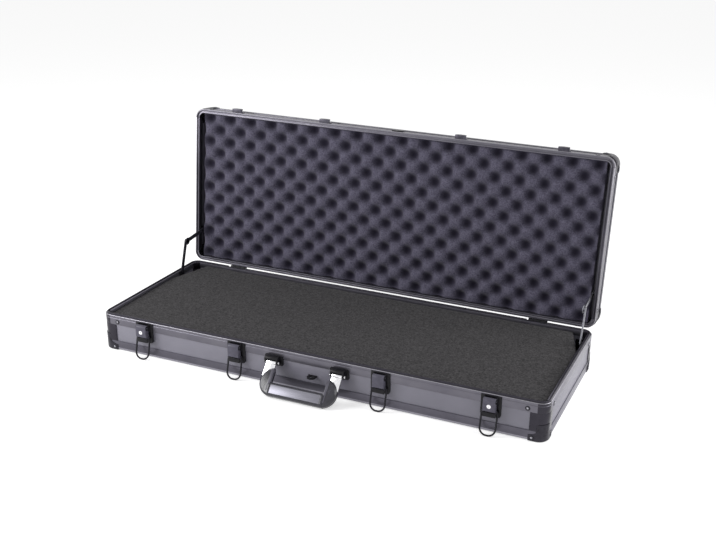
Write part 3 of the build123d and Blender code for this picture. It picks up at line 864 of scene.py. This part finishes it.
@dataclass
class Rivets:
    """Domed rivets in black cups near the corners of both halves, joined into one piece on each."""

    bench: Bench
    radius: float = 2.4 * MM
    rise: float = 1.5 * MM
    sunk: float = 0.4 * MM
    cup_radius: float = 4.8 * MM
    cup_rise: float = 0.7 * MM
    cap_rise: float = 1.2 * MM
    dome: float = 0.9
    sides: int = 16
    rim_inset: float = 38 * MM
    rim_drop: float = 13 * MM
    prong_inset: float = 27 * MM
    prong_height: float = 8 * MM

    def head(self, radius: float, rise: float) -> Piece:
        """Makes one round head at the origin, domed towards +Z.

        Args:
            radius: The head's radius in metres.
            rise: How far it stands out.

        Returns:
            The head.
        """
        depth = rise + self.sunk
        middle = (0, 0, depth / 2 - self.sunk)
        return add_button("rivet", radius, depth, self.dome * rise, vertices=self.sides, location=middle)

    def points(self, low: Vector, high: Vector, rim: float, prong: float) -> list[tuple[Vector, Vector]]:
        """Finds the rivets of one half as it lies shut, in the rim and in the caps' prongs.

        Args:
            low: Lowest corner of the half's frame.
            high: Highest corner of the half's frame.
            rim: Height of the rim rivets.
            prong: Height of the rivets in the caps' prongs.

        Returns:
            Point and outward direction of each rivet.
        """
        found = []
        for side in (-1, 1):
            for out in (-1, 1):
                front = high.y if out > 0 else low.y
                for inset, height, proud in (
                    (self.rim_inset, rim, 0.0),
                    (self.prong_inset, prong, self.cap_rise),
                ):
                    x = side * (high.x - inset)
                    found.append((Vector((x, front + out * proud, height)), Vector((0, out, 0))))
                    y = front - out * inset
                    found.append((Vector((side * (high.x + proud), y, height)), Vector((side, 0, 0))))
        return found

    def build(self) -> None:
        """Places all rivets of both halves."""
        base_low, base_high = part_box("base_rim_front")
        base_high.y = -base_low.y
        rim = base_low.z + self.rim_drop / 2
        base_points = self.points(base_low, base_high, rim, self.prong_height)
        lid_low, lid_high = self.bench.shut_box("lid_rim_front")
        lid_high.y = -lid_low.y
        top = self.bench.shut_box("lid_corner_caps")[1].z
        lid_points = self.points(lid_low, lid_high, lid_low.z + self.rim_drop / 2, top - self.prong_height)
        for half, points in ((Half.BASE, base_points), (Half.LID, lid_points)):
            turn = self.bench.turn(half)
            places = [
                turn @ Matrix.Translation(point) @ out.to_track_quat("Z", "Y").to_matrix().to_4x4()
                for point, out in points
            ]
            cups = copies_joined(self.head(self.cup_radius, self.cup_rise), f"{half.value}_rivet_cups", places)
            self.bench.finish_piece(cups, half.value, "black_cap", CUP)
            heads = copies_joined(self.head(self.radius, self.rise), f"{half.value}_rivet_heads", places)
            self.bench.finish_piece(heads, half.value, "frame_extrusion", RIVET)


@dataclass
class CaseShell:
    """Boards, extrusions, posts and caps of both halves."""

    bench: Bench
    board_round: float = 0.3 * MM
    frame_round: float = 0.25 * MM
    cap_round: float = 0.5 * MM
    corner: float = 20 * MM
    tongue_rise: float = 3 * MM
    shoulder: float = 16.4 * MM
    shoulder_drop: float = 2 * MM
    inside_corner: float = 0.5 * MM
    bead: float = 5.3 * MM

    def shut_faces(self, piece: Piece, half: Half) -> Iterator[tuple[Any, Vector, Vector]]:
        """Goes through the faces as they lie with the lid shut, the lid turned upside down.

        Args:
            piece: A frame piece.
            half: The half that it belongs to.

        Yields:
            Face, middle and normal, with +Z towards the parting plane.
        """
        back = self.bench.turn(half).inverted()
        flip = Vector((1, 1, -1 if half is Half.LID else 1))
        for face in piece.data.polygons:
            yield face, (back @ face.center) * flip, (back.to_3x3() @ face.normal) * flip

    def reach(self, middle: Vector) -> tuple[float, float]:
        """Measures how far into a corner a point lies.

        Args:
            middle: The point, with the lid shut.

        Returns:
            Distance from the corner's centre, and how deep the point lies in the corner's quarter.
        """
        low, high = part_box("base_rim_front")
        along = abs(middle.x) - (high.x - self.corner)
        across = abs(middle.y) - (-low.y - self.corner)
        return math.hypot(max(0.0, along), max(0.0, across)), min(along, across)

    def number_rim(self, piece: Piece, half: Half) -> None:
        """Numbers tongue, shoulder and corners of a rim; the tongue gets painted shade and the shoulder a
        painted highlight.

        Args:
            piece: The rim.
            half: The half that it belongs to.
        """
        parting = max(middle.z for _, middle, _ in self.shut_faces(piece, half))
        if half is Half.BASE:
            parting -= self.tongue_rise
        for face, middle, normal in self.shut_faces(piece, half):
            outward, inside = self.reach(middle)
            level = normal.z > LEVEL and middle.z > parting - self.shoulder_drop
            # Faces above the parting plane: the tongue, in painted shade
            if middle.z > parting + TOUCH:
                face.material_index = 1
            # Level faces by the parting plane, outside the corners: the shoulder, in painted highlight
            elif level and outward > self.shoulder:
                face.material_index = 2
            elif inside > self.inside_corner and abs(normal.z) < LEVEL:
                face.material_index = 3

    def number_edge(self, piece: Piece, half: Half) -> None:
        """Cuts off the bead along an edge extrusion's outer corner and numbers it and the corners; the bead
        gets a painted reflection of the floor.

        Args:
            piece: The edge extrusion.
            half: The half that it belongs to.
        """
        foot = min(middle.z for _, middle, _ in self.shut_faces(piece, half))
        turn = self.bench.turn(half)
        height = (foot + self.bead) * (-1 if half is Half.LID else 1)
        with editing(piece):
            bpy.ops.mesh.bisect(
                plane_co=turn @ Vector((0, 0, height)), plane_no=turn.to_3x3() @ Vector((0, 0, 1))
            )
        for face, middle, normal in self.shut_faces(piece, half):
            outward, inside = self.reach(middle)
            low = middle.z < foot + self.bead and abs(normal.z) < ALIGNED
            # Low faces along the outer corner: the bead, in painted reflection of the floor
            if low and outward > self.shoulder:
                face.material_index = 1
            elif inside > self.inside_corner and abs(normal.z) < LEVEL:
                face.material_index = 2

    def build(self) -> None:
        """Dresses every board and frame piece of both halves."""
        for half in Half:
            for board in ("front_panel", "back_panel", "end_panels"):
                self.bench.dress(f"{half.value}_{board}", BOARD, self.board_round)
            self.bench.dress(f"{half.value}_corner_posts", POST, self.frame_round)
            self.bench.dress(f"{half.value}_corner_caps", CAP, self.cap_round)
            # Both are the one extrusion: the base's ends get painted light and the lid's ends painted shade
            ends = FRAME_END_LIT if half is Half.BASE else FRAME_SHORT_SHADED
            number_rim = partial(self.number_rim, half=half)
            number_edge = partial(self.number_edge, half=half)
            for run in ("front", "back", "ends"):
                rim, edge = (ends, ends) if run == "ends" else (FRAME_LONG, EDGE_LONG)
                self.bench.dress(
                    f"{half.value}_rim_{run}", rim, self.frame_round, TONGUE_SHADE, SHOULDER_HIGHLIGHT, POST, shape=number_rim
                )
                self.bench.dress(
                    f"{half.value}_edge_{run}", edge, self.frame_round, BEAD_REFLECTION, POST, shape=number_edge
                )
        self.bench.dress("base_bottom_panel", BOARD, self.board_round)
        self.bench.dress("lid_top_panel", BOARD, self.board_round)


@dataclass
class BaseFoam:
    """Flat foam that fills the base, with softened edges and a slightly uneven top."""

    bench: Bench
    voxel: float = 4 * MM
    unevenness: float = 0.5 * MM
    lump: float = 70 * MM

    def build(self) -> None:
        """Remeshes the foam's block and moves its top by slow noise."""
        piece = bpy.data.objects.new("base_foam_flat", self.bench.frame["nodes"]["base_foam"].data.copy())
        bpy.context.scene.collection.objects.link(piece)
        with editing(piece):
            bpy.ops.mesh.remove_doubles(threshold=MERGE_DISTANCE)
        apply_modifier(piece, "REMESH", mode="VOXEL", voxel_size=self.voxel)
        low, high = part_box("base_foam")
        for vertex in piece.data.vertices:
            share = max(0.0, (vertex.co.z - low.z) / (high.z - low.z))
            vertex.co.z += share * self.unevenness * (noise.noise(vertex.co / self.lump) - 0.5)
        select_only(piece)
        bpy.ops.object.shade_smooth()
        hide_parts("base_foam")
        self.bench.finish_piece(piece, "base", "base_foam", FLAT_FOAM)


@dataclass
class LidFoam:
    """Egg-box foam of the lid: a staggered field of rounded peaks and hollows."""

    bench: Bench
    cell: float = 3 * MM
    pitch: float = 52 * MM
    depth: float = 20 * MM
    steepness: float = 1.6
    wobble: float = 0.8 * MM
    lump: float = 20 * MM
    # Share of a hollow's depth where the painted shade starts, and how fast it darkens below that
    shade_from: float = 0.35
    shade_gain: float = 1.7
    crease: float = math.radians(60)

    def height(self, x: float, y: float) -> float:
        """Depth of the surface below the peaks.

        Args:
            x: Place along the case.
            y: Place across the case.

        Returns:
            Depth in metres.
        """
        wave = math.cos(2 * math.pi * x / self.pitch) * math.cos(2 * math.pi * y / self.pitch)
        lump = noise.noise(Vector((x, y, 0)) / self.lump)
        return self.depth * (0.5 - 0.5 * wave) ** self.steepness + self.wobble * (0.5 + 0.5 * lump)

    def build(self) -> None:
        """Builds the foam shut, closes its back and swings it open."""
        low, high = self.bench.shut_box("lid_foam")
        size = high - low
        piece = add_primitive(
            "lid_foam_egg_box",
            bpy.ops.mesh.primitive_grid_add,
            x_subdivisions=round(size.x / self.cell),
            y_subdivisions=round(size.y / self.cell),
            size=1,
            location=(0, 0, low.z),
        )
        piece.scale = (size.x, size.y, 1)
        set_in_place(piece)
        with editing(piece):
            bpy.ops.mesh.flip_normals()
            bpy.ops.mesh.region_to_loop()
            bpy.ops.mesh.extrude_edges_move(TRANSFORM_OT_translate={"value": (0, 0, size.z)})
            bpy.ops.mesh.edge_face_add()
        hollow_shade = piece.data.attributes.new(HOLLOW_SHADE, "FLOAT", "POINT")
        for vertex in piece.data.vertices:
            if vertex.co.z < low.z + size.z / 2:
                sunk = self.height(vertex.co.x, vertex.co.y)
                vertex.co.z += sunk
                # Painted shade: the deeper the point lies in a hollow, the darker the foam is drawn
                dark = self.shade_gain * sunk / self.depth - self.shade_from
                hollow_shade.data[vertex.index].value = min(1.0, max(0.0, dark))
        piece.data.transform(self.bench.lid_open)
        with editing(piece):
            bpy.ops.mesh.normals_make_consistent(inside=False)
        select_only(piece)
        bpy.ops.object.shade_smooth_by_angle(angle=self.crease)
        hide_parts("lid_foam")
        self.bench.finish_piece(piece, "lid", "lid_foam", EGG_FOAM)


@dataclass
class Hinges:
    """Two leaf hinges and the folding stays."""

    bench: Bench
    leaf_round: float = 0.4 * MM
    link_round: float = 0.35 * MM
    knob_radius: float = 8.5 * MM
    knob_depth: float = 1.8 * MM
    knob_dome: float = 0.6
    knob_sides: int = 24
    play: float = 0.15 * MM

    def build(self) -> None:
        """Dresses hinges and stays."""
        for node in ("hinge_base_leaves", "hinge_lid_leaves", "hinge_pins"):
            self.bench.dress(node, FITTING, self.leaf_round)
        for node in ("stay_base_brackets", "stay_lid_brackets"):
            self.bench.dress(node, FITTING, self.link_round, shape=self.ease_back)
        for side, strip in (("left", BLACK_STRIP), ("right", ZINC)):
            for link in ("lower", "upper"):
                self.bench.dress(f"stay_{side}_{link}", strip, self.link_round)
            self.knob(side, strip)

    def ease_back(self, piece: Piece) -> None:
        """Draws the brackets' backs a little off the rims, so that the shut lid's rim clears them.

        Args:
            piece: The brackets of both sides.
        """
        wall = max(abs(vertex.co.x) for vertex in piece.data.vertices)
        for vertex in piece.data.vertices:
            if abs(vertex.co.x) > wall - TOUCH:
                vertex.co.x = math.copysign(wall - self.play, vertex.co.x)

    def knob(self, side: str, strip: Finish) -> None:
        """Adds the domed button on the elbow of a stay, on the side that faces the foam.

        Args:
            side: Left or right.
            strip: Finish of that stay.
        """
        node = f"stay_{side}_lower"
        low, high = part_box(node)
        inward = 1 if side == "left" else -1
        face = high.x if side == "left" else low.x
        pivot = self.bench.joints[f"stay_{side}_elbow"]["pos_m"]
        piece = add_button(
            f"stay_{side}_knob",
            self.knob_radius,
            self.knob_depth,
            self.knob_dome * self.knob_depth,
            vertices=self.knob_sides,
            location=(face - inward * self.knob_depth / 2, pivot[1], pivot[2]),
            rotation=(0, inward * math.pi / 2, 0),
        )
        self.bench.finish_piece(piece, self.bench.bodies[node], "stay_steel", strip)


@dataclass
class DrawLatches:
    """Four draw latches with wire bails, their locks and strikes."""

    bench: Bench
    count: int = 4
    locked: tuple[int, ...] = (1, 4)
    round: float = 0.4 * MM
    small_round: float = 0.2 * MM
    wire_round: float = 0.05 * MM
    face_border: float = 1.3 * MM
    face_rise: float = 0.4 * MM
    face_slope: float = 0.3 * MM
    barrel: float = 10 * MM
    collar_sides: int = 24
    collar_radius: float = 4.0 * MM
    collar_round: float = 0.8 * MM
    lip_drop: float = 9.5 * MM
    lip_sheet: float = 2.4 * MM
    lip_flare: float = 2.0 * MM
    lip_round: float = 0.9 * MM
    roll_segments: int = 3

    def raise_face(self, piece: Piece) -> None:
        """Insets the lever's face plate inside a border, raises it and numbers it.

        Args:
            piece: The lever.
        """
        front = min(vertex.co.y for vertex in piece.data.vertices)
        top = max(vertex.co.z for vertex in piece.data.vertices) - self.barrel
        for face in piece.data.polygons:
            flat = face.normal.y < -ALIGNED and face.center.y < front + TOUCH
            face.select = flat and face.center.z < top
        with editing(piece, whole=False):
            bpy.ops.mesh.inset(thickness=self.face_border, depth=0, use_boundary=True)
            bpy.ops.mesh.inset(thickness=self.face_slope, depth=self.face_rise, use_boundary=True)
        # The raised face gets the lighter grey of the painted reflection
        number_selected(piece, 1)

    def collar(self, number: int) -> None:
        """Adds the rolled collar of the lever round its cross tube.

        Args:
            number: The latch's number.
        """
        node = f"latch_{number}_lever"
        low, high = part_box(node)
        piece = add_primitive(
            f"latch_{number}_collar",
            bpy.ops.mesh.primitive_cylinder_add,
            vertices=self.collar_sides,
            radius=self.collar_radius,
            depth=high.x - low.x,
            location=self.bench.joints[f"latch_{number}_bail_pivot"]["pos_m"],
            rotation=(0, math.pi / 2, 0),
        )
        round_edges(piece, self.collar_round, self.roll_segments)
        self.bench.finish_piece(piece, self.bench.bodies[node], "black_hardware", LEVER)

    def lip(self, number: int) -> None:
        """Adds the finger lip that hangs below the collar and flares outwards.

        Args:
            number: The latch's number.
        """
        node = f"latch_{number}_lever"
        low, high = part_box(node)
        pivot = Vector(self.bench.joints[f"latch_{number}_bail_pivot"]["pos_m"])
        front = pivot.y - self.collar_radius
        piece = add_primitive(
            f"latch_{number}_lip",
            bpy.ops.mesh.primitive_cube_add,
            size=1,
            location=((low.x + high.x) / 2, front + self.lip_sheet / 2, pivot.z - self.lip_drop / 2),
            scale=(high.x - low.x, self.lip_sheet, self.lip_drop),
        )
        select_faces(piece, Vector((0, 0, -1)))
        with editing(piece, whole=False):
            bpy.ops.transform.translate(value=(0, -self.lip_flare, 0))
        round_edges(piece, self.lip_round, self.roll_segments)
        self.bench.finish_piece(piece, self.bench.bodies[node], "black_hardware", LEVER)

    def build(self) -> None:
        """Dresses the latches, pins and strikes."""
        for number in range(1, self.count + 1):
            self.bench.dress(f"latch_{number}_plate", FITTING, self.round)
            self.bench.dress(f"latch_{number}_lever", LEVER, self.round, LEVER_FACE_SHEEN, shape=self.raise_face)
            self.collar(number)
            self.lip(number)
            self.bench.dress(f"latch_{number}_bail", WIRE, self.wire_round)
            if number in self.locked:
                self.bench.dress(f"latch_{number}_lock", NICKEL, self.small_round)
        self.bench.dress("latch_pins", ZINC, self.small_round)
        self.bench.dress("lid_strikes", STRIKE, self.small_round)


@dataclass
class CarryHandle:
    """Grip with its straps, brackets and pins, and the strips let into its ends.

    The strips are measured from the handle's pivot, as it hangs before it leans out.
    """

    bench: Bench
    round: float = 0.5 * MM
    lean: float = math.radians(41.611)
    inlay_round: float = 0.05 * MM
    inlay_flatness: float = 0.99
    inlay_border: float = 1.5 * MM
    inlay_groove: float = 0.7 * MM
    groove_depth: float = 0.25 * MM
    groove_slope: float = 0.1 * MM
    strip_inner: float = 56.3 * MM
    strip_width: float = 5.5 * MM
    strip_top: float = 14.0 * MM
    strip_low: float = 58.0 * MM
    strip_front: float = 8.5 * MM
    strip_back: float = 2.4 * MM

    def border_inlay(self, piece: Piece) -> None:
        """Cuts a dark groove into the inlay's face and numbers its bright border.

        Args:
            piece: The inlay, one thin block.
        """
        widest = max(piece.data.polygons, key=lambda face: (round(face.area, 9), -face.normal.y))
        select_faces(piece, widest.normal.copy(), self.inlay_flatness)
        number_selected(piece, 1)
        with editing(piece, whole=False):
            bpy.ops.mesh.inset(thickness=self.inlay_border, depth=0)
            bpy.ops.mesh.inset(thickness=self.groove_slope, depth=-self.groove_depth)
        number_selected(piece, 2)
        with editing(piece, whole=False):
            bpy.ops.mesh.inset(thickness=self.inlay_groove, depth=0)
            bpy.ops.mesh.inset(thickness=self.groove_slope, depth=self.groove_depth)
        number_selected(piece, 0)

    def strips(self) -> None:
        """Adds the strips that run from the straps down to the inlay."""
        pivot = Vector(self.bench.joints["handle_swing"]["pos_m"])
        piece = add_primitive(
            "handle_strips",
            bpy.ops.mesh.primitive_cube_add,
            size=1,
            location=(
                self.strip_inner + self.strip_width / 2,
                -(self.strip_front + self.strip_back) / 2,
                -(self.strip_top + self.strip_low) / 2,
            ),
            scale=(self.strip_width, self.strip_front - self.strip_back, self.strip_low - self.strip_top),
        )
        apply_modifier(piece, "MIRROR", use_axis=(True, False, False))
        round_edges(piece, self.round)
        piece.data.transform(Matrix.Translation(pivot) @ Matrix.Rotation(-self.lean, 4, "X"))
        self.bench.finish_piece(piece, "handle", "bright_strap", STRIP)

    def build(self) -> None:
        """Dresses the handle's pieces."""
        for side in ("left", "right"):
            self.bench.dress(f"handle_bracket_{side}", FITTING, self.round)
            self.bench.dress(f"handle_arm_{side}", CHROME, self.round)
        self.bench.dress("handle_pins", NICKEL, self.round)
        self.bench.dress("handle_grip", GRIP, self.round)
        self.bench.dress("handle_inlay", INLAY, self.inlay_round, TRIM, GROOVE, shape=self.border_inlay)
        self.strips()


@dataclass
class PadlockParts:
    """Eye on the base and keeper plate on the lid."""

    bench: Bench
    round: float = 0.4 * MM

    def build(self) -> None:
        """Dresses both plates."""
        self.bench.dress("padlock_eye", FITTING, self.round)
        self.bench.dress("lid_keeper", FITTING, self.round)


@dataclass(frozen=True)
class Softbox:
    """A square lamp: where it hangs and its side, in metres, and its power in watts."""

    name: str
    place: tuple[float, float, float]
    size: float
    power: float


@dataclass
class Studio:
    """Pale floor, soft lights and the camera of the photograph.

    The camera's place is in lengths of the case, its angles are radians, and it looks at the aim.
    """

    case_length: float = 0.95
    azimuth: float = 0.3940637
    elevation: float = 0.4128563
    roll: float = 0.0204501
    distance: float = 2.1818117
    aim: tuple[float, float, float] = (0.0978832, 0.0, 0.1070310)
    focal_pixels: float = 1030.923
    image_width: float = 716
    image_height: float = 540
    centre_pixel: tuple[float, float] = (387.525, 319.302)
    sensor: float = 36.0
    floor_size: float = 60.0
    floor_lift: float = 0.5
    world_light: float = 0.45
    lamps: tuple[Softbox, ...] = (
        Softbox("right_softbox", (2.2, 0.5, 1.0), 1.4, 32),
        Softbox("front_softbox", (-1.75, -1.4, 1.1), 1.1, 36),
    )

    def seen(self, tree: Tree) -> Socket:
        """Tells rays that show a surface from rays that only light one.

        Args:
            tree: The tree of the floor or the world.

        Returns:
            1 for camera, glossy and transmission rays, and else 0.
        """
        path = add_node(tree, "ShaderNodeLightPath", {})
        glossy = {0: path.outputs["Is Camera Ray"], 1: path.outputs["Is Glossy Ray"]}
        either = add_node(tree, "ShaderNodeMath", glossy, operation="MAXIMUM").outputs[0]
        through = {0: either, 1: path.outputs["Is Transmission Ray"]}
        return add_node(tree, "ShaderNodeMath", through, operation="MAXIMUM").outputs[0]

    def floor(self) -> None:
        """Adds a pale floor that keeps the case's shadow."""
        bpy.ops.object.select_all(action="DESELECT")
        bpy.ops.mesh.primitive_plane_add(size=self.floor_size, location=(0, 0, 0))
        plane = bpy.context.active_object
        plane.name = "floor"
        paint = bpy.data.materials.new("white_paper_floor")
        paint.use_nodes = True
        tree = paint.node_tree
        tree.nodes.clear()
        diffuse = add_node(tree, "ShaderNodeBsdfDiffuse", {"Color": linear("#fbfbfb")})
        lift = add_node(tree, "ShaderNodeMath", {0: self.seen(tree), 1: self.floor_lift}, operation="MULTIPLY")
        glow = add_node(tree, "ShaderNodeEmission", {"Color": linear(WHITE), "Strength": lift.outputs[0]})
        both = add_node(tree, "ShaderNodeAddShader", {0: diffuse.outputs[0], 1: glow.outputs[0]})
        add_node(tree, "ShaderNodeOutputMaterial", {"Surface": both.outputs[0]})
        plane.data.materials.append(paint)
        plane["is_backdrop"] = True

    def world(self) -> None:
        """Adds even light from all round, which looks white to the camera and in reflections."""
        world = bpy.data.worlds.new("white_room")
        world.use_nodes = True
        tree = world.node_tree
        tree.nodes.clear()
        lit = add_node(tree, "ShaderNodeBackground", {"Color": linear(WHITE), "Strength": self.world_light})
        white = add_node(tree, "ShaderNodeBackground", {"Color": linear(WHITE), "Strength": 1.0})
        either = {0: self.seen(tree), 1: lit.outputs[0], 2: white.outputs[0]}
        mix = add_node(tree, "ShaderNodeMixShader", either)
        add_node(tree, "ShaderNodeOutputWorld", {"Surface": mix.outputs[0]})
        bpy.context.scene.world = world

    def lamp(self, softbox: Softbox) -> None:
        """Adds one lamp that points at the case.

        Args:
            softbox: The lamp's name, place, size and power.
        """
        bpy.ops.object.select_all(action="DESELECT")
        bpy.ops.object.light_add(type="AREA", location=softbox.place)
        lamp = bpy.context.active_object
        lamp.name = softbox.name
        lamp.data.size = softbox.size
        lamp.data.energy = softbox.power
        lamp.rotation_mode = "QUATERNION"
        lamp.rotation_quaternion = (-Vector(softbox.place)).to_track_quat("-Z", "Y")

    def camera(self) -> None:
        """Adds the camera where the photograph was taken from."""
        back = Vector(
            (
                math.sin(self.azimuth) * math.cos(self.elevation),
                -math.cos(self.azimuth) * math.cos(self.elevation),
                math.sin(self.elevation),
            )
        )
        right = Vector((math.cos(self.azimuth), math.sin(self.azimuth), 0))
        up = back.cross(right)
        tilted_right = math.cos(self.roll) * right + math.sin(self.roll) * up
        tilted_up = math.cos(self.roll) * up - math.sin(self.roll) * right
        turn = Matrix((tilted_right, tilted_up, back)).transposed()
        spot = (Vector(self.aim) + back * self.distance) * self.case_length
        bpy.ops.object.select_all(action="DESELECT")
        bpy.ops.object.camera_add(location=spot, rotation=turn.to_euler())
        camera = bpy.context.active_object
        camera.data.sensor_fit = "HORIZONTAL"
        camera.data.sensor_width = self.sensor
        camera.data.lens = self.focal_pixels / self.image_width * self.sensor
        camera.data.shift_x = (self.image_width / 2 - self.centre_pixel[0]) / self.image_width
        camera.data.shift_y = (self.centre_pixel[1] - self.image_height / 2) / self.image_width
        camera.data.clip_end = 2 * self.floor_size
        bpy.context.scene.camera = camera

    def build(self) -> None:
        """Sets up the floor, the lights and the camera."""
        bpy.context.scene.view_settings.view_transform = "Standard"
        self.floor()
        self.world()
        for softbox in self.lamps:
            self.lamp(softbox)
        self.camera()


def write_sizes(packed: tuple[Vector, Vector]) -> None:
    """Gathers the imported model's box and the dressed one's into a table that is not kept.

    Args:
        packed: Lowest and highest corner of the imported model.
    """
    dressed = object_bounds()
    sizes = {
        "cad": [list(corner) for corner in packed],
        "visual": [list(corner) for corner in dressed],
    }


def main() -> None:
    """Builds every sub-assembly and the studio."""
    logging.basicConfig(level=logging.INFO, format="%(message)s")
    bench = Bench()
    for assembly in (
        CaseShell(bench),
        BaseFoam(bench),
        LidFoam(bench),
        Hinges(bench),
        DrawLatches(bench),
        CarryHandle(bench),
        PadlockParts(bench),
        Rivets(bench),
        Studio(),
    ):
        assembly.build()
    write_sizes(bench.bounds)


if __name__ == "__main__":
    main()
